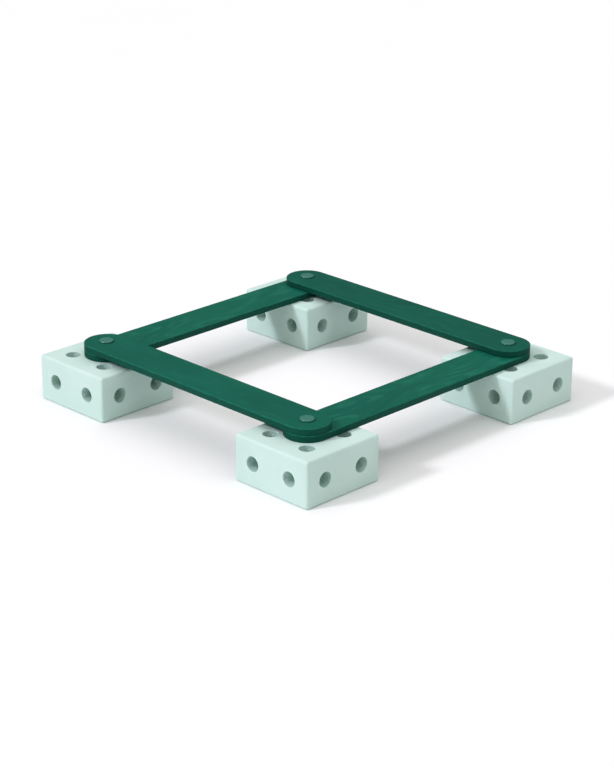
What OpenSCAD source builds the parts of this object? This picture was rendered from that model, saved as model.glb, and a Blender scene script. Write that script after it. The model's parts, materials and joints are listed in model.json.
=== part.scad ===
// Balance beam square: four foam blocks joined by four planks, with one round peg at each corner.
// Frame: +Z is up, the floor is z = 0 and the origin is the middle of the square.
// -Y is the front, +Y the back, -X the left and +X the right.

/* [Square] */
// Distance between the pegs of one plank
peg_spacing = 720; // [620:10:900]

/* [Foam block] */
// Length and width of a block
block_side = 240; // [200:4:300]
// Height of a block
block_height = 120; // [92:2:150]
// Rounding of the block's edges
block_edge_r = 7; // [3:0.5:12]
// Distance between the centres of neighbouring holes
hole_pitch = 120; // [100:2:140]

/* [Plank] */
// Width of a plank, and the diameter of its round ends
plank_width = 114; // [80:2:160]
// Thickness of a plank
plank_thickness = 18; // [12:1:25]
// Rounding of the plank's edges
plank_edge_r = 2.5; // [1:0.5:5]

/* [Peg] */
// Diameter of a peg
peg_diameter = 38; // [30:1:44]
// How far a peg stands above the upper plank
peg_stand_out = 5; // [2:0.5:15]
// Rounding of the peg's two ends
peg_edge_r = 4; // [1:0.5:6]
// Gap all round between a peg and any hole that it goes in
peg_clearance = 0.1; // [0.05:0.05:0.5]

/* [Hidden] */
$fn = 96;
// Extra length of a cutting shape past the faces that it cuts
cut_past = 1;

hole_r = peg_diameter / 2 + peg_clearance;
peg_length = block_height + 2 * plank_thickness + peg_stand_out;

lower_plank_z = block_height;
upper_plank_z = lower_plank_z + plank_thickness;

foam_colour = [0.82, 0.92, 0.90];
plank_colour = [0.10, 0.39, 0.33];
peg_colour = [0.24, 0.48, 0.42];

// Each corner has a name and its signs along X and Y
CORNERS = [
    ["front_left", -1, -1],
    ["front_right", 1, -1],
    ["back_left", -1, 1],
    ["back_right", 1, 1],
];

// Rectangle centred on the origin, with its corners rounded by r
module rounded_rectangle(size_x, size_y, r) {
    square([size_x - 2 * r, size_y], center = true);
    square([size_x, size_y - 2 * r], center = true);
    for (x = [-1, 1], y = [-1, 1])
        translate([x * (size_x / 2 - r), y * (size_y / 2 - r)])
            circle(r);
}

// Block with every edge rounded, standing on z = 0 before any hole is cut
module rounded_block() {
    translate([0, 0, block_height / 2])
        intersection() {
            linear_extrude(block_height, center = true)
                rounded_rectangle(block_side, block_side, block_edge_r);
            rotate([90, 0, 0])
                linear_extrude(block_side, center = true)
                    rounded_rectangle(block_side, block_height, block_edge_r);
            rotate([90, 0, 90])
                linear_extrude(block_side, center = true)
                    rounded_rectangle(block_side, block_height, block_edge_r);
        }
}

// Cutter for one upright hole through a block
module upright_hole(x, y) {
    translate([x, y, -cut_past])
        cylinder(h = block_height + 2 * cut_past, r = hole_r);
}

// Cutter for one hole through a block from side face to side face, along X and offset along Y
module side_hole(y) {
    translate([0, y, block_height / 2])
        rotate([0, 90, 0])
            cylinder(h = block_side + 2 * cut_past, r = hole_r, center = true);
}

// Foam block: a middle hole for the peg, four holes round it and two holes each way through the sides
module block() {
    color(foam_colour)
        difference() {
            rounded_block();
            upright_hole(0, 0);
            for (a = [-1, 1]) {
                for (b = [-1, 1])
                    upright_hole(a * hole_pitch / 2, b * hole_pitch / 2);
                side_hole(a * hole_pitch / 2);
                rotate([0, 0, 90])
                    side_hole(a * hole_pitch / 2);
            }
        }
}

// Round end of a plank: a disc with its rim rounded at top and bottom
module plank_end() {
    rotate_extrude()
        intersection() {
            rounded_rectangle(plank_width, plank_thickness, plank_edge_r);
            translate([0, -plank_thickness / 2])
                square([plank_width / 2, plank_thickness]);
        }
}

// Plank along X, centred on the origin, with a peg hole at the middle of each round end
module plank() {
    color(plank_colour)
        difference() {
            union() {
                rotate([90, 0, 90])
                    linear_extrude(peg_spacing, center = true)
                        rounded_rectangle(plank_width, plank_thickness, plank_edge_r);
                for (end = [-1, 1])
                    translate([end * peg_spacing / 2, 0, 0])
                        plank_end();
            }
            for (end = [-1, 1])
                translate([end * peg_spacing / 2, 0, 0])
                    cylinder(h = plank_thickness + 2 * cut_past, r = hole_r, center = true);
        }
}

// Lower plank: along X, lying on the blocks; side is -1 for the front and 1 for the back
module lower_plank(side) {
    translate([0, side * peg_spacing / 2, lower_plank_z + plank_thickness / 2])
        plank();
}

// Upper plank: along Y, lying on the lower planks; side is -1 for the left and 1 for the right
module upper_plank(side) {
    translate([side * peg_spacing / 2, 0, upper_plank_z + plank_thickness / 2])
        rotate([0, 0, 90])
            plank();
}

// Peg: a round bar with both ends rounded, standing on z = 0
module peg() {
    color(peg_colour)
        rotate_extrude()
            translate([0, peg_length / 2])
                intersection() {
                    rounded_rectangle(peg_diameter, peg_length, peg_edge_r);
                    translate([0, -peg_length / 2])
                        square([peg_diameter / 2, peg_length]);
                }
}

// Puts its children at one corner of the square
module at_corner(corner) {
    translate([corner[1] * peg_spacing / 2, corner[2] * peg_spacing / 2, 0])
        children();
}

for (corner = CORNERS) {
    at_corner(corner) block();
    at_corner(corner) peg();
}
lower_plank(-1);  // lower_plank_front
lower_plank(1);  // lower_plank_back
upper_plank(-1);  // upper_plank_left
upper_plank(1);  // upper_plank_right
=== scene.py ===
"""Looks of a low balance beam square: four drilled foam blocks, four stained planks and four round pegs.

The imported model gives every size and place. Each kind of piece is modelled once, copied to its places
and dressed with a procedural material.
"""

import json
import logging
import math
from contextlib import contextmanager
from dataclasses import dataclass
from enum import Enum
from typing import Any, Callable, Iterator, Sequence

import bpy
from mathutils import Matrix, Vector


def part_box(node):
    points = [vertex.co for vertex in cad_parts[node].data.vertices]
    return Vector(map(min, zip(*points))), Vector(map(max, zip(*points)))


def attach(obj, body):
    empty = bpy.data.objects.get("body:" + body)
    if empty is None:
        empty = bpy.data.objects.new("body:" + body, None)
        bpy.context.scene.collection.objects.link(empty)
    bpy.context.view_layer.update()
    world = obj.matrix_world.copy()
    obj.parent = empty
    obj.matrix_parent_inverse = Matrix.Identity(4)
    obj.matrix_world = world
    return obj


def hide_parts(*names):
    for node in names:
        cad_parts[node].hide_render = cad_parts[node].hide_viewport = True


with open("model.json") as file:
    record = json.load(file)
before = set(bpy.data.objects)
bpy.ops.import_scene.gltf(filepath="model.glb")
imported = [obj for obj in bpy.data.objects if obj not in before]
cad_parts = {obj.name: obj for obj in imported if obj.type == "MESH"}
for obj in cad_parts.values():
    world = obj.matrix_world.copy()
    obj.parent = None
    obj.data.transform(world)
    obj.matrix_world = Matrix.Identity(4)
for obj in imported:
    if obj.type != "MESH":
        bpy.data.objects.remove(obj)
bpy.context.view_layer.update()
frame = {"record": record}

log = logging.getLogger("balance_square")

MM = 0.001
CORNERS = ("front_left", "front_right", "back_left", "back_right")
# Places nearer than this are the same place
SAME = 0.01 * MM
# How far a drilled edge may lie from the true circle
ON_CIRCLE = 0.02 * MM
Colour = tuple[float, float, float]


class Axis(Enum):
    """A direction that a hole or a plank runs in."""

    X = 0
    Y = 1
    Z = 2


class Slot(Enum):
    """The record's material slots."""

    FOAM = "foam"
    PLANK = "plank"
    PEG = "peg"


# ---------------------------------------------------------------------------------------------------
# Hand moves on meshes
# ---------------------------------------------------------------------------------------------------


def take(piece: bpy.types.Object) -> bpy.types.Object:
    """Selects one piece alone and makes it the active one.

    Args:
        piece: The object.

    Returns:
        The same object.
    """
    bpy.ops.object.select_all(action="DESELECT")
    piece.select_set(True)
    bpy.context.view_layer.objects.active = piece
    return piece


@contextmanager
def editing(kind: str = "EDGE") -> Iterator[None]:
    """Works on the active piece in edit mode.

    Args:
        kind: The select mode, VERT, EDGE or FACE.
    """
    bpy.ops.object.mode_set(mode="EDIT")
    bpy.ops.mesh.select_mode(type=kind)
    yield
    bpy.ops.object.mode_set(mode="OBJECT")


def select_none(kind: str) -> None:
    """Clears the active piece's selection in one select mode."""
    with editing(kind):
        bpy.ops.mesh.select_all(action="DESELECT")


def select_edges(piece: bpy.types.Object, wanted: Callable[[Vector, Vector], bool]) -> int:
    """Selects the edges whose two ends pass a test.

    Args:
        piece: The mesh object, in object mode.
        wanted: Takes the places of an edge's two ends.

    Returns:
        How many edges were selected.
    """
    select_none("EDGE")
    mesh = piece.data
    count = 0
    for edge in mesh.edges:
        a, b = (mesh.vertices[i].co for i in edge.vertices)
        edge.select = wanted(a, b)
        count += edge.select
    return count


def select_faces(piece: bpy.types.Object, wanted: Callable[[Vector, Vector], bool]) -> None:
    """Selects the faces whose centre and normal pass a test.

    Args:
        piece: The mesh object, in object mode.
        wanted: Takes a face's centre and its normal.
    """
    select_none("FACE")
    for face in piece.data.polygons:
        face.select = wanted(face.center, face.normal)


def apply_modifier(piece: bpy.types.Object, kind: str, **settings: Any) -> None:
    """Adds a modifier to a piece and applies it.

    Args:
        piece: The mesh object.
        kind: The modifier's type.
        **settings: The modifier's own settings.
    """
    take(piece)
    modifier = piece.modifiers.new(kind.lower(), kind)
    for name, value in settings.items():
        setattr(modifier, name, value)
    bpy.ops.object.modifier_apply(modifier=modifier.name)


def add_cylinder(radius: float, length: float, centre: Vector, axis: Axis, sides: int) -> bpy.types.Object:
    """Adds a round bar about a centre, along one axis, with its place in its mesh.

    Args:
        radius: The bar's radius.
        length: The bar's whole length.
        centre: The middle of the bar.
        axis: The axis that the bar lies along.
        sides: The number of flats round it.

    Returns:
        The new object.
    """
    turn = {Axis.X: (0, math.pi / 2, 0), Axis.Y: (math.pi / 2, 0, 0), Axis.Z: (0, 0, 0)}[axis]
    bpy.ops.object.select_all(action="DESELECT")
    bpy.ops.mesh.primitive_cylinder_add(
        vertices=sides, radius=radius, depth=length, location=centre, rotation=turn
    )
    settle(bpy.context.object)
    return bpy.context.object


def drill(
    piece: bpy.types.Object, radius: float, length: float, centre: Vector, axis: Axis, sides: int
) -> None:
    """Cuts a round hole through a piece.

    Args:
        piece: The mesh object that is drilled.
        radius: The hole's radius.
        length: The cutter's length, longer than the piece there.
        centre: A point that the middle of the cutter lies at.
        axis: The axis that the hole runs along.
        sides: The number of flats round the hole.
    """
    cutter = add_cylinder(radius, length, centre, axis, sides)
    apply_modifier(piece, "BOOLEAN", operation="DIFFERENCE", solver="MANIFOLD", object=cutter)
    # The solver adds an empty material slot
    piece.data.materials.clear()
    bpy.data.objects.remove(cutter)


def middle_of(node: str) -> Vector:
    """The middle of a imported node's box."""
    low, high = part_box(node)
    return (low + high) / 2


def settle(piece: bpy.types.Object) -> None:
    """Puts a piece's place, turn and size into its mesh, so that its object sits at the origin."""
    take(piece)
    bpy.ops.object.transform_apply(location=True, rotation=True, scale=True)


def smooth(piece: bpy.types.Object, angle_deg: float) -> None:
    """Smooths the shading of a piece over soft angles, and keeps its flat faces flat.

    Args:
        piece: The mesh object.
        angle_deg: Edges sharper than this stay sharp.
    """
    take(piece)
    bpy.ops.object.shade_smooth_by_angle(angle=math.radians(angle_deg))
    apply_modifier(piece, "WEIGHTED_NORMAL", weight=50, keep_sharp=True)


def copy_of(piece: bpy.types.Object, name: str, place: Matrix) -> bpy.types.Object:
    """Makes a copy with a mesh of its own.

    Args:
        piece: The finished pattern.
        name: The copy's name.
        place: Where the copy's mesh goes.

    Returns:
        The copy, with its object at the origin.
    """
    made = piece.copy()
    made.data = piece.data.copy()
    made.name = name
    made.data.name = name
    bpy.context.scene.collection.objects.link(made)
    made.data.transform(place)
    return made


# ---------------------------------------------------------------------------------------------------
# Shader maths
# ---------------------------------------------------------------------------------------------------


class Wire:
    """A number in a node tree. Sums on wires add Math nodes."""

    def __init__(self, graph: "Graph", socket: bpy.types.NodeSocket) -> None:
        """Wraps one output socket of a node tree."""
        self.graph = graph
        self.socket = socket

    def _math(self, operation: str, *values: "Wire | float") -> "Wire":
        """Adds one Math node on these values."""
        return self.graph.node("ShaderNodeMath", {"operation": operation}, dict(enumerate(values)))

    def __add__(self, other: "Wire | float") -> "Wire":
        """Adds."""
        return self._math("ADD", self, other)

    __radd__ = __add__

    def __mul__(self, other: "Wire | float") -> "Wire":
        """Multiplies."""
        return self._math("MULTIPLY", self, other)

    __rmul__ = __mul__

    def __sub__(self, other: "Wire | float") -> "Wire":
        """Takes other away."""
        return self._math("SUBTRACT", self, other)

    def __rsub__(self, other: "Wire | float") -> "Wire":
        """Is taken away from other."""
        return self._math("SUBTRACT", other, self)

    def __abs__(self) -> "Wire":
        """Drops the sign."""
        return self._math("ABSOLUTE", self)

    def sine(self) -> "Wire":
        """The sine of this angle in radians."""
        return self._math("SINE", self)

    def step(self, start: float, end: float) -> "Wire":
        """Rises smoothly from 0 to 1.

        Args:
            start: Where it leaves 0.
            end: Where it reaches 1. It may be the smaller one.

        Returns:
            The wire with the step.
        """
        swapped = start > end
        low, high = (end, start) if swapped else (start, end)
        rise = self.graph.node(
            "ShaderNodeMapRange",
            {"interpolation_type": "SMOOTHSTEP"},
            {"Value": self, "From Min": low, "From Max": high},
        )
        return 1.0 - rise if swapped else rise


class Graph:
    """A node tree that nodes are added to."""

    def __init__(self, tree: bpy.types.NodeTree) -> None:
        """Takes the tree of a material or of the sky."""
        self.tree = tree

    def node(
        self,
        kind: str,
        settings: dict[str, Any] | None = None,
        inputs: dict[int | str, Any] | None = None,
        out: int | str = 0,
    ) -> Wire:
        """Adds any node.

        Args:
            kind: The node's type.
            settings: The node's own settings, which are set first.
            inputs: Values or wires by socket name or number.
            out: The output that is returned.

        Returns:
            The wire at that output.
        """
        made = self.tree.nodes.new(kind)
        for name, value in (settings or {}).items():
            setattr(made, name, value)
        for name, value in (inputs or {}).items():
            socket = made.inputs[name]
            if isinstance(value, Wire):
                self.tree.links.new(value.socket, socket)
            else:
                socket.default_value = value
        return Wire(self, made.outputs[out])


class Shader(Graph):
    """One material and the nodes in it."""

    def __init__(self, name: str, constants: dict[str, Any]) -> None:
        """Starts a material with a Principled shader.

        Args:
            name: The material's name.
            constants: Values for the shader's own sockets.
        """
        self.material = bpy.data.materials.new(name)
        self.material.use_nodes = True
        super().__init__(self.material.node_tree)
        self.surface = self.tree.nodes["Principled BSDF"]
        for socket, value in constants.items():
            self.surface.inputs[socket].default_value = value

    def place(self, centre: Vector = Vector(), turn: float = 0.0) -> Wire:
        """Object coordinates about a centre, turned about Z so that the piece's length lies along X.

        Args:
            centre: The new origin.
            turn: The turn about Z, in radians.

        Returns:
            The coordinates.
        """
        coordinates = self.node("ShaderNodeTexCoord", out="Object")
        moved = self.node("ShaderNodeVectorMath", {"operation": "SUBTRACT"}, {0: coordinates, 1: centre})
        return self.node(
            "ShaderNodeMapping", {"vector_type": "POINT"}, {"Vector": moved, "Rotation": (0.0, 0.0, turn)}
        )

    def shifted(self, vector: Wire, by: Sequence[float]) -> Wire:
        """The same coordinates, moved."""
        return self.node("ShaderNodeVectorMath", {"operation": "ADD"}, {0: vector, 1: tuple(by)})

    def stretched(self, vector: Wire, scale: Sequence[float]) -> Wire:
        """The same coordinates, multiplied along each axis."""
        return self.node("ShaderNodeVectorMath", {"operation": "MULTIPLY"}, {0: vector, 1: tuple(scale)})

    def axes(self, vector: Wire) -> tuple[Wire, Wire, Wire]:
        """A vector's three numbers."""
        split = self.node("ShaderNodeSeparateXYZ", None, {"Vector": vector}).socket.node
        return tuple(Wire(self, split.outputs[i]) for i in range(3))

    def noise(self, vector: Wire, scale: float, detail: float = 2.0, roughness: float = 0.5) -> Wire:
        """Soft noise from 0 to 1, with scale features in a metre."""
        inputs = {"Vector": vector, "Scale": scale, "Detail": detail, "Roughness": roughness}
        return self.node("ShaderNodeTexNoise", None, inputs)

    def strands(self, vector: Wire, scale: Sequence[float], detail: float, roughness: float = 0.5) -> Wire:
        """Soft noise from 0 to 1, with its own number of features in a metre along each axis."""
        return self.noise(self.stretched(vector, scale), 1.0, detail, roughness)

    def cells(self, vector: Wire, scale: float) -> Wire:
        """Distance inside Voronoi cells, with scale cells in a metre."""
        return self.node("ShaderNodeTexVoronoi", None, {"Vector": vector, "Scale": scale}, "Distance")

    def mix(self, amount: Wire | float, first: Wire | Colour, second: Wire | Colour) -> Wire:
        """Blends two colours, each a wire or a fixed colour. Amount 0 is the first, 1 the second."""
        ends = [c if isinstance(c, Wire) else (*c, 1.0) for c in (first, second)]
        return self.node("ShaderNodeMix", {"data_type": "RGBA"}, {0: amount, 6: ends[0], 7: ends[1]}, 2)

    def finish(self, colour: Wire, roughness: Wire, height: Wire, depth: float) -> bpy.types.Material:
        """Joins the varying parts to the surface.

        Args:
            colour: The base colour.
            roughness: The roughness.
            height: The relief, from 0 to 1.
            depth: How deep the whole relief is, in metres.

        Returns:
            The material.
        """
        bump = self.node("ShaderNodeBump", None, {"Height": height, "Strength": 1.0, "Distance": depth})
        for name, wire in (("Base Color", colour), ("Roughness", roughness), ("Normal", bump)):
            self.tree.links.new(wire.socket, self.surface.inputs[name])
        return self.material


# ---------------------------------------------------------------------------------------------------
# Finishes
# ---------------------------------------------------------------------------------------------------


@dataclass(frozen=True)
class FoamFinish:
    """Closed-cell foam with a fine moulded skin and pale painted glints. CUT_FOAM is the same foam where a
    hole saw cut it.

    The counts are features in a metre, and the strengths go from 0 to 1.
    """

    pale: Colour = (0.585, 0.765, 0.705)
    deep: Colour = (0.54, 0.725, 0.665)
    pore: Colour = (0.36, 0.56, 0.50)
    # Painted glints: pale flecks that stand in for light catching the foam's cells
    glint_colour: Colour = (0.74, 0.88, 0.84)
    cloud_count: float = 9.0
    grain_count: float = 420.0
    glint_count: float = 380.0
    cell_count: float = 620.0
    pit_count: float = 140.0
    grain_strength: float = 0.22
    glint_strength: float = 0.12
    pit_strength: float = 0.25
    relief: float = 0.14 * MM

    def material(self, name: str) -> bpy.types.Material:
        """Makes the material.

        Args:
            name: The material's name.

        Returns:
            The material, for the skin or for a hole's wall.
        """
        shader = Shader(
            name,
            {
                "IOR": 1.4,
                "Specular IOR Level": 0.3,
                "Sheen Weight": 0.12,
                "Sheen Roughness": 0.6,
                "Subsurface Weight": 0.12,
                "Subsurface Radius": (0.7, 1.0, 0.9),
                "Subsurface Scale": 6 * MM,
            },
        )
        place = shader.place()
        clouds = shader.noise(place, self.cloud_count, 3.0)
        grain = shader.noise(place, self.grain_count, 4.0, 0.65)
        cells = shader.cells(place, self.cell_count)
        pits = shader.cells(place, self.pit_count).step(0.12, 0.02)
        # Pale flecks painted as glints of the cells
        glints = shader.noise(place, self.glint_count, 1.0).step(0.60, 0.70)
        colour = shader.mix(clouds.step(0.3, 0.7), self.pale, self.deep)
        colour = shader.mix(grain.step(0.35, 0.75) * self.grain_strength, colour, self.deep)
        colour = shader.mix(glints * self.glint_strength, colour, self.glint_colour)
        colour = shader.mix(pits * self.pit_strength, colour, self.pore)
        roughness = 0.66 + 0.14 * clouds + 0.1 * grain
        height = 0.55 * cells + 0.45 * grain - 0.6 * pits
        return shader.finish(colour, roughness, height, self.relief)


CUT_FOAM = FoamFinish(
    pale=(0.56, 0.74, 0.68),
    deep=(0.40, 0.60, 0.53),
    cell_count=340.0,
    pit_count=95.0,
    grain_strength=0.5,
    # Strong painted glints on the cut walls
    glint_strength=0.85,
    pit_strength=0.5,
    relief=0.9 * MM,
)


@dataclass(frozen=True)
class StainedPlyFinish:
    """Plywood under a dark green stain: flowing figure on the faces, thin plies on the edges.

    Depths are taken from the top face. The plies come in from edge_from to edge_full. The painted highlight
    on the upper arris comes in from highlight_from to highlight_full and fades from highlight_fade to
    highlight_end.
    """

    stain: Colour = (0.004, 0.120, 0.079)
    deep: Colour = (0.003, 0.101, 0.066)
    warm: Colour = (0.004, 0.139, 0.079)
    grain: Colour = (0.002, 0.078, 0.051)
    figure: Colour = (0.018, 0.190, 0.124)
    edge: Colour = (0.002, 0.054, 0.036)
    # Painted highlight: the paler colour laid along the upper arris, where light catches the round-over
    arris_highlight: Colour = (0.010, 0.190, 0.118)
    ply: float = 1.5 * MM
    relief: float = 0.10 * MM
    contour_count: float = 80.0
    band_count: float = 21.0
    edge_from: float = 0.4 * MM
    edge_full: float = 1.6 * MM
    # Depths of the painted highlight on the upper arris
    highlight_from: float = 0.01 * MM
    highlight_full: float = 0.3 * MM
    highlight_fade: float = 1.4 * MM
    highlight_end: float = 3.6 * MM
    figure_strength: float = 0.5
    tone: float = 1.0
    cut_from: float = 0.0

    def _toned(self, colour: Colour) -> Colour:
        """A colour as dark as this plank is."""
        return tuple(part * self.tone for part in colour)

    def _face(self, shader: Shader, veneer: Wire, contours: Wire, bands: Wire, fibres: Wire) -> Wire:
        """Colours a plank's faces.

        Args:
            shader: The material that is made.
            veneer: The place on the veneer.
            contours: The figure's fine lines, from 0 to 1.
            bands: The figure's wide bands, from 0 to 1.
            fibres: The finest streaks, from 0 to 1.

        Returns:
            The colour.
        """
        deep = self._toned(self.deep)
        blotch = shader.strands(veneer, (5.0, 14.0, 14.0), 3.0)
        broken = shader.strands(veneer, (9.0, 26.0, 20.0), 3.0, 0.6).step(0.44, 0.64)
        streaks = shader.strands(veneer, (6.0, 170.0, 170.0), 3.0, 0.55)
        strokes = contours.step(0.45, 0.95) * (0.18 + 0.82 * broken) * self.figure_strength
        colour = shader.mix(blotch.step(0.3, 0.72), deep, self._toned(self.stain))
        colour = shader.mix(bands * 0.55, colour, self._toned(self.warm))
        colour = shader.mix(strokes * 0.55, colour, self._toned(self.figure))
        colour = shader.mix(streaks.step(0.46, 0.70) * 0.5, colour, deep)
        return shader.mix(fibres.step(0.40, 0.75) * 0.35, colour, self._toned(self.grain))

    def material(self, name: str, centre: Vector, turn: float, thickness: float) -> bpy.types.Material:
        """Makes the material for one plank.

        Args:
            name: The material's name.
            centre: The middle of the plank.
            turn: The turn about Z that lays the plank's length along X.
            thickness: The plank's thickness.

        Returns:
            The material.
        """
        shader = Shader(name, {"IOR": 1.5, "Specular IOR Level": 0.09})
        place = shader.place(centre, turn)
        up = shader.axes(place)[2]
        top = thickness / 2
        # Each plank shows another part of the same endless veneer
        veneer = shader.shifted(place, (self.cut_from, 0.37 * self.cut_from, 0.61 * self.cut_from))
        # A hill field stretched along the plank; its contour lines are the veneer's figure
        hills = shader.strands(veneer, (2.6, 8.0, 3.0), 2.0, 0.4)
        contours = (hills * self.contour_count).sine() * 0.5 + 0.5
        bands = ((hills * self.band_count).sine() * 0.5 + 0.5).step(0.05, 0.95) * self.figure_strength
        fibres = shader.strands(veneer, (28.0, 900.0, 900.0), 3.0, 0.6)
        pores = shader.strands(veneer, (60.0, 1500.0, 1500.0), 1.0).step(0.68, 0.8)
        plies = (up * (math.pi / self.ply)).sine().step(-0.35, 0.35)
        side = abs(up).step(top - self.edge_from, top - self.edge_full)
        face = self._face(shader, veneer, contours, bands, fibres)
        rim = shader.mix(plies * 0.65, self._toned(self.edge), self._toned(self.deep))
        colour = shader.mix(side, face, rim)
        # A painted highlight along the upper arris, where light catches the round-over, broken into patches;
        # the lower arris gets none and keeps its stain
        below = up.step(top - self.highlight_end, top - self.highlight_fade)
        highlight_band = below * up.step(top - self.highlight_from, top - self.highlight_full)
        highlight_patches = shader.noise(place, 70.0, 4.0, 0.6).step(0.42, 0.66)
        colour = shader.mix(highlight_band * (0.25 + 0.5 * highlight_patches), colour, self._toned(self.arris_highlight))
        roughness = 0.46 + 0.14 * fibres + 0.08 * side - 0.05 * bands
        height = 0.5 * fibres - 0.5 * pores + 0.2 * contours * (1.0 - side) + 0.8 * plies * side
        return shader.finish(colour, roughness, height, self.relief)


@dataclass(frozen=True)
class PegFinish:
    """Hardwood rod under green lacquer, paler on the sanded end grain."""

    bark: Colour = (0.006, 0.082, 0.062)
    streak: Colour = (0.012, 0.125, 0.095)
    end: Colour = (0.038, 0.195, 0.142)
    ring: Colour = (0.026, 0.155, 0.112)
    ring_width: float = 2.3 * MM
    heart: tuple[float, float] = (31 * MM, -24 * MM)
    relief: float = 0.07 * MM

    def material(self, name: str, axis: Vector, top: float, bottom: float, edge: float) -> bpy.types.Material:
        """Makes the material for one peg.

        Args:
            name: The material's name.
            axis: A point on the peg's axis.
            top: The height of its top.
            bottom: The height of its foot.
            edge: How far its ends are rounded.

        Returns:
            The material.
        """
        shader = Shader(
            name, {"IOR": 1.5, "Specular IOR Level": 0.25, "Coat Weight": 0.35, "Coat Roughness": 0.14}
        )
        place = shader.place(axis)
        up = shader.axes(place)[2]
        # The rod was sawn beside the tree's middle, so its rings are wide arcs about a far point
        heart = shader.stretched(shader.place(axis + Vector((*self.heart, 0.0))), (1.0, 1.0, 0.0))
        away = shader.node("ShaderNodeVectorMath", {"operation": "LENGTH"}, {0: heart}, "Value")
        wander = shader.noise(place, 40.0, 2.0)
        rings = (away * (2 * math.pi / self.ring_width) + wander * 5.0).sine() * 0.5 + 0.5
        pores = shader.cells(shader.stretched(place, (1.0, 1.0, 0.02)), 900.0).step(0.22, 0.1)
        fibres = shader.strands(place, (700.0, 700.0, 22.0), 3.0, 0.6)
        middle = (top + bottom) / 2
        half = (top - bottom) / 2
        capped = abs(up - (middle - axis.z)).step(half - 0.75 * edge, half - 0.1 * edge)
        end = shader.mix(rings * 0.6, self.end, self.ring)
        end = shader.mix(pores * 0.35, end, self.bark)
        rod = shader.mix(fibres.step(0.35, 0.75), self.bark, self.streak)
        colour = shader.mix(capped, rod, end)
        roughness = 0.30 + 0.12 * fibres + 0.06 * rings * capped
        height = 0.5 * fibres * (1.0 - capped) + (0.35 * rings - 0.5 * pores) * capped
        return shader.finish(colour, roughness, height, self.relief)


@dataclass(frozen=True)
class FloorFinish:
    """Matt pale studio floor with a faint mottle."""

    pale: Colour = (0.93, 0.93, 0.93)
    shade: Colour = (0.91, 0.912, 0.915)

    def material(self, name: str) -> bpy.types.Material:
        """Makes the material.

        Args:
            name: The material's name.

        Returns:
            The material.
        """
        shader = Shader(name, {"Specular IOR Level": 0.1})
        place = shader.place()
        clouds = shader.noise(place, 1.5, 3.0)
        grit = shader.noise(place, 240.0, 2.0)
        colour = shader.mix(clouds, self.pale, self.shade)
        return shader.finish(colour, 0.85 + 0.1 * clouds, grit, 0.05 * MM)


# ---------------------------------------------------------------------------------------------------
# Pieces
# ---------------------------------------------------------------------------------------------------


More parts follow.
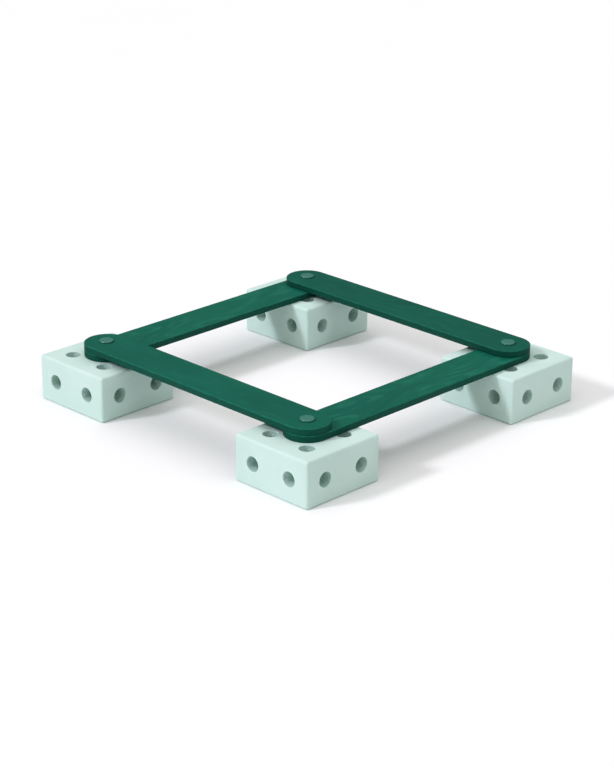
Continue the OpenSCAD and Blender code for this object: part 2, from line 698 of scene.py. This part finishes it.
@dataclass
class FoamBlocks:
    """The four drilled foam blocks."""

    edge_round: float = 7 * MM
    edge_segments: int = 7
    rim_round: float = 1.6 * MM
    rim_segments: int = 3
    wall_slack: float = 0.1 * MM
    hole_sides: int = 72
    sharp_deg: float = 38.0
    skin: FoamFinish = FoamFinish()
    cut: FoamFinish = CUT_FOAM

    def __post_init__(self) -> None:
        """Reads the block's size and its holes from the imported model."""
        low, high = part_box(f"block_{CORNERS[0]}")
        self.size = high - low
        middle = (low + high) / 2
        self.holes: list[tuple[Axis, Vector, float]] = []
        for mount in frame["record"]["mounts"]:
            if mount["name"].startswith(CORNERS[0]) and mount["kind"] == "bore":
                axis = Axis([abs(x) for x in mount["axis"]].index(1))
                place = Vector(mount["pos_m"]) - middle
                place[axis.value] = 0.0
                self.holes.append((axis, place, mount["dims"]["r_mm"] * MM))
        # The middle hole is as wide as the others
        self.holes.append((Axis.Z, Vector(), self.holes[0][2]))

    def _on_wall(self, slack: float, *points: Vector) -> bool:
        """Whether all the points lie on the wall of one hole.

        Args:
            slack: How far from the wall still counts.
            *points: The places to test, about the block's middle.

        Returns:
            True when one hole has them all on its wall.
        """
        for axis, place, radius in self.holes:
            reaches = []
            for point in points:
                away = point - place
                away[axis.value] = 0.0
                reaches.append(away.length)
            if all(abs(reach - radius) < slack for reach in reaches):
                return True
        return False

    def _on_mouth(self, a: Vector, b: Vector) -> bool:
        """Whether an edge is part of a hole's mouth.

        Args:
            a: One end of the edge.
            b: Its other end.

        Returns:
            True when both ends lie on one flat side and on one hole's wall.
        """
        for i in range(3):
            outside = self.size[i] / 2
            flat = abs(abs(a[i]) - outside) < SAME and abs(a[i] - b[i]) < SAME
            if flat and self._on_wall(ON_CIRCLE, a, b):
                return True
        return False

    def _pattern(self) -> bpy.types.Object:
        """Models one block about the origin: rounds its edges, drills it and eases the mouths.

        Returns:
            The block, with no material yet.
        """
        bpy.ops.object.select_all(action="DESELECT")
        bpy.ops.mesh.primitive_cube_add(size=1.0, scale=self.size)
        block = bpy.context.object
        settle(block)
        with editing("EDGE"):
            bpy.ops.mesh.select_all(action="SELECT")
            bpy.ops.mesh.bevel(offset=self.edge_round, segments=self.edge_segments, affect="EDGES")
        for axis, place, radius in self.holes:
            drill(block, radius, 2 * max(self.size), place, axis, self.hole_sides)
        with editing("VERT"):
            bpy.ops.mesh.select_all(action="SELECT")
            bpy.ops.mesh.remove_doubles(threshold=SAME / 2)
        count = select_edges(block, self._on_mouth)
        with editing("EDGE"):
            bpy.ops.mesh.bevel(offset=self.rim_round, segments=self.rim_segments, affect="EDGES")
        log.info("foam block: %d mouth edges eased", count)
        smooth(block, self.sharp_deg)
        return block

    def _mark_cut_walls(self, block: bpy.types.Object) -> None:
        """Gives the walls of the holes the second material.

        Args:
            block: The drilled block about the origin.
        """
        for face in block.data.polygons:
            inside = all(abs(face.center[i]) < self.size[i] / 2 - self.rim_round for i in range(3))
            face.material_index = int(inside and self._on_wall(self.wall_slack, face.center))

    def build(self) -> None:
        """Models a block, copies it to the four corners and dresses the copies."""
        pattern = self._pattern()
        for finish, name in ((self.skin, "foam_skin"), (self.cut, "foam_cut")):
            pattern.data.materials.append(finish.material(name))
        self._mark_cut_walls(pattern)
        for corner in CORNERS:
            node = f"block_{corner}"
            block = copy_of(pattern, f"foam_{node}", Matrix.Translation(middle_of(node)))
            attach(block, node)
            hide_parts(node)
            log.info("%s: %d faces", block.name, len(block.data.polygons))
        bpy.data.objects.remove(pattern)


@dataclass
class Planks:
    """The four planks with round ends, two along X and two along Y above them."""

    finishes: tuple[tuple[str, StainedPlyFinish], ...] = (
        ("lower_plank_front", StainedPlyFinish(figure_strength=1.0, tone=0.97)),
        ("lower_plank_back", StainedPlyFinish(figure_strength=0.9, tone=0.98, cut_from=1.7)),
        ("upper_plank_left", StainedPlyFinish(figure_strength=0.25, tone=1.0, cut_from=3.1)),
        ("upper_plank_right", StainedPlyFinish(figure_strength=0.35, tone=0.86, cut_from=4.6)),
    )
    edge_round: float = 2.5 * MM
    edge_segments: int = 6
    hole_ease: float = 0.8 * MM
    ease_segments: int = 2
    rim_slack: float = 1 * MM
    end_sides: int = 128
    hole_sides: int = 72
    sharp_deg: float = 35.0

    def __post_init__(self) -> None:
        """Reads the plank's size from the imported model."""
        low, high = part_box(self.finishes[0][0])
        self.size = high - low
        self.radius = self.size.y / 2
        self.reach = (middle_of("peg_front_right") - middle_of("peg_front_left")).x / 2
        mounts = [m for m in frame["record"]["mounts"] if m["kind"] == "bore"]
        self.hole_radius = mounts[0]["dims"]["r_mm"] * MM

    def _blank(self) -> bpy.types.Object:
        """Models a plank with square edges: half a disc drawn out to the middle, then mirrored.

        Returns:
            The plank along X about the origin.
        """
        plank = add_cylinder(self.radius, self.size.z, Vector(), Axis.Z, self.end_sides)
        with editing("FACE"):
            bpy.ops.mesh.select_all(action="SELECT")
            bpy.ops.mesh.bisect(
                plane_co=(0, 0, 0), plane_no=(1, 0, 0), clear_inner=True, use_fill=True, threshold=0.001 * MM
            )
            bpy.ops.mesh.select_all(action="SELECT")
            bpy.ops.transform.translate(value=(self.reach, 0, 0))
        select_faces(plank, lambda centre, normal: normal.x < -0.99)
        with editing("FACE"):
            bpy.ops.mesh.extrude_region_move(TRANSFORM_OT_translate={"value": (-self.reach, 0, 0)})
            bpy.ops.mesh.delete(type="FACE")
        apply_modifier(plank, "MIRROR", merge_threshold=SAME)
        return plank

    def _on_faces(self, a: Vector, b: Vector) -> bool:
        """Whether both ends of an edge lie on the top or the bottom."""
        return all(abs(abs(p.z) - self.size.z / 2) < SAME for p in (a, b))

    def _off_axis(self, point: Vector) -> float:
        """How far a point is from the line between the two peg holes."""
        over = max(abs(point.x) - self.reach, 0.0)
        return math.hypot(over, point.y)

    def _on_rim(self, a: Vector, b: Vector) -> bool:
        """Whether an edge runs round the outside of a face."""
        outside = all(self._off_axis(p) > self.radius - self.rim_slack for p in (a, b))
        return outside and abs(a.z - b.z) < SAME and self._on_faces(a, b)

    def _on_hole(self, a: Vector, b: Vector) -> bool:
        """Whether both ends of an edge lie on the mouths of a peg hole."""
        away = [math.hypot(abs(p.x) - self.reach, p.y) for p in (a, b)]
        return self._on_faces(a, b) and all(abs(d - self.hole_radius) < ON_CIRCLE for d in away)

    def _pattern(self) -> bpy.types.Object:
        """Models one plank along X about the origin: drills its blank and rounds its edges.

        Returns:
            The plank, with no material yet.
        """
        plank = self._blank()
        for end in (-1, 1):
            centre = Vector((end * self.reach, 0, 0))
            drill(plank, self.hole_radius, 4 * self.size.z, centre, Axis.Z, self.hole_sides)
        for test, width, segments in (
            (self._on_rim, self.edge_round, self.edge_segments),
            (self._on_hole, self.hole_ease, self.ease_segments),
        ):
            count = select_edges(plank, test)
            with editing("EDGE"):
                bpy.ops.mesh.bevel(offset=width, segments=segments, affect="EDGES")
            log.info("plank: %d edges rounded by %.1f mm", count, width / MM)
        smooth(plank, self.sharp_deg)
        return plank

    def build(self) -> None:
        """Models a plank, lays the four copies and dresses them."""
        pattern = self._pattern()
        for node, finish in self.finishes:
            low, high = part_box(node)
            middle = (low + high) / 2
            size = high - low
            turn = math.pi / 2 if size.y > size.x else 0.0
            place = Matrix.Translation(middle) @ Matrix.Rotation(turn, 4, "Z")
            plank = copy_of(pattern, f"stained_{node}", place)
            plank.data.materials.append(finish.material(f"ply_{node}", middle, -turn, self.size.z))
            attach(plank, node)
            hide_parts(node)
            log.info("%s: %d faces", plank.name, len(plank.data.polygons))
        bpy.data.objects.remove(pattern)


@dataclass
class Pegs:
    """The four round pegs."""

    edge_round: float = 4 * MM
    edge_segments: int = 7
    rim_width: float = 0.6 * MM
    step_width: float = 0.5 * MM
    step_depth: float = 0.12 * MM
    sides: int = 96
    sharp_deg: float = 35.0

    def __post_init__(self) -> None:
        """Reads the peg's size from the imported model."""
        low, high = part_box(f"peg_{CORNERS[0]}")
        self.size = high - low

    def _pattern(self) -> bpy.types.Object:
        """Models one peg about the origin, with rounded ends and a shallow turned land on each.

        Returns:
            The peg, with no material yet.
        """
        peg = add_cylinder(self.size.x / 2, self.size.z, Vector(), Axis.Z, self.sides)
        select_edges(peg, lambda a, b: abs(a.z - b.z) < SAME)
        with editing("EDGE"):
            bpy.ops.mesh.bevel(offset=self.edge_round, segments=self.edge_segments, affect="EDGES")
        for end in (-1, 1):
            select_faces(peg, lambda centre, normal: normal.z * end > 0.999 and abs(centre.x) < 1 * MM)
            with editing("FACE"):
                bpy.ops.mesh.inset(thickness=self.rim_width, depth=0.0)
                bpy.ops.mesh.inset(thickness=self.step_width, depth=-self.step_depth)
        smooth(peg, self.sharp_deg)
        return peg

    def build(self) -> None:
        """Models a peg, stands the four copies and dresses them."""
        pattern = self._pattern()
        for corner in CORNERS:
            node = f"peg_{corner}"
            low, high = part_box(node)
            middle = (low + high) / 2
            peg = copy_of(pattern, f"turned_{node}", Matrix.Translation(middle))
            finish = PegFinish().material(f"lacquer_{node}", middle, high.z, low.z, self.edge_round)
            peg.data.materials.append(finish)
            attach(peg, node)
            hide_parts(node)
            log.info("%s: %d faces", peg.name, len(peg.data.polygons))
        bpy.data.objects.remove(pattern)


# ---------------------------------------------------------------------------------------------------
# Studio
# ---------------------------------------------------------------------------------------------------


@dataclass(frozen=True)
class Lamp:
    """One far, soft light. Its light is as strong over the whole floor."""

    name: str
    towards: tuple[float, float, float]
    strength: float
    spread_deg: float
    tint: Colour = (1.0, 1.0, 1.0)

    def build(self) -> None:
        """Hangs the light."""
        lamp = bpy.data.lights.new(self.name, "SUN")
        lamp.energy = self.strength
        lamp.angle = math.radians(self.spread_deg)
        lamp.color = self.tint
        holder = bpy.data.objects.new(self.name, lamp)
        holder.rotation_euler = Vector(self.towards).to_track_quat("Z", "Y").to_euler()
        bpy.context.scene.collection.objects.link(holder)


@dataclass(frozen=True)
class SkyPanel:
    """A round, soft-edged bright part of the sky. Its rim and core are cosines from its middle."""

    middle: tuple[float, float, float]
    rim: float
    core: float
    glow: float


@dataclass
class Studio:
    """The camera, the floor, the lights and the sky."""

    turn_deg: float = -45.1
    tilt_deg: float = 21.76
    roll_deg: float = 0.3
    distance: float = 5.80
    above: float = 39.0 * MM
    lens: float = 106.1
    sensor: float = 36.0
    floor_side: float = 60.0
    lamps: tuple[Lamp, ...] = (Lamp("key", (-0.750, 0.305, 0.587), 1.44, 10.0, (1.0, 0.955, 1.05)),)
    sky_tint: Colour = (1.0, 0.99, 0.985)
    sky_base: float = 0.10
    sky_panels: tuple[SkyPanel, ...] = (
        SkyPanel((0.0, 0.0, 1.0), 0.3, 0.9, 1.06),
        SkyPanel((-0.70, -0.70, 0.15), -0.1, 0.9, 0.27),
    )
    backdrop: float = 1.0

    def build_camera(self) -> None:
        """Sets the camera at its angle, looking past the middle of the square's base."""
        turn, tilt, roll = (math.radians(a) for a in (self.turn_deg, self.tilt_deg, self.roll_deg))
        back = Vector((math.sin(turn) * math.cos(tilt), -math.cos(turn) * math.cos(tilt), math.sin(tilt)))
        right = Vector((math.cos(turn), math.sin(turn), 0.0))
        up = back.cross(right)
        data = bpy.data.cameras.new("camera")
        data.lens = self.lens
        data.sensor_width = self.sensor
        data.clip_end = 2 * self.floor_side
        camera = bpy.data.objects.new("camera", data)
        bpy.context.scene.collection.objects.link(camera)
        rolled_right = right * math.cos(roll) + up * math.sin(roll)
        rolled_up = up * math.cos(roll) - right * math.sin(roll)
        axes = Matrix((rolled_right, rolled_up, back)).transposed().to_4x4()
        place = back * self.distance + up * self.above
        camera.matrix_world = Matrix.Translation(place) @ axes
        bpy.context.scene.camera = camera

    def build_floor(self) -> None:
        """Lays the floor under the object."""
        bpy.ops.object.select_all(action="DESELECT")
        bpy.ops.mesh.primitive_plane_add(size=self.floor_side)
        floor = bpy.context.object
        floor.name = "studio_floor"
        floor.data.materials.append(FloorFinish().material("studio_floor"))

    def build_sky(self) -> None:
        """Makes a soft sky, bright overhead and beside the camera, that looks white behind the floor."""
        world = bpy.data.worlds.new("studio_sky")
        world.use_nodes = True
        sky = Graph(world.node_tree)
        ways = sky.node("ShaderNodeTexCoord", out="Generated")
        glow: Wire | float = self.sky_base
        for panel in self.sky_panels:
            facing = sky.node(
                "ShaderNodeVectorMath", {"operation": "DOT_PRODUCT"}, {0: ways, 1: panel.middle}, "Value"
            )
            glow = glow + facing.step(panel.rim, panel.core) * panel.glow
        seen = sky.node("ShaderNodeLightPath", out="Is Camera Ray")
        lit = sky.node("ShaderNodeBackground", None, {"Color": (*self.sky_tint, 1.0), "Strength": glow})
        white = sky.node(
            "ShaderNodeBackground", None, {"Color": (1.0, 1.0, 1.0, 1.0), "Strength": self.backdrop}
        )
        choice = sky.node("ShaderNodeMixShader", None, {0: seen, 1: lit, 2: white})
        sky.tree.links.new(choice.socket, sky.tree.nodes["World Output"].inputs["Surface"])
        bpy.context.scene.world = world

    def build(self) -> None:
        """Builds the whole studio."""
        self.build_camera()
        self.build_floor()
        self.build_sky()
        for lamp in self.lamps:
            lamp.build()
        bpy.context.scene.view_settings.view_transform = "Standard"


def main() -> None:
    """Builds the studio and every piece."""
    logging.basicConfig(level=logging.INFO, format="%(name)s: %(message)s")
    Studio().build()
    FoamBlocks().build()
    Planks().build()
    Pegs().build()


if __name__ == "__main__":
    main()
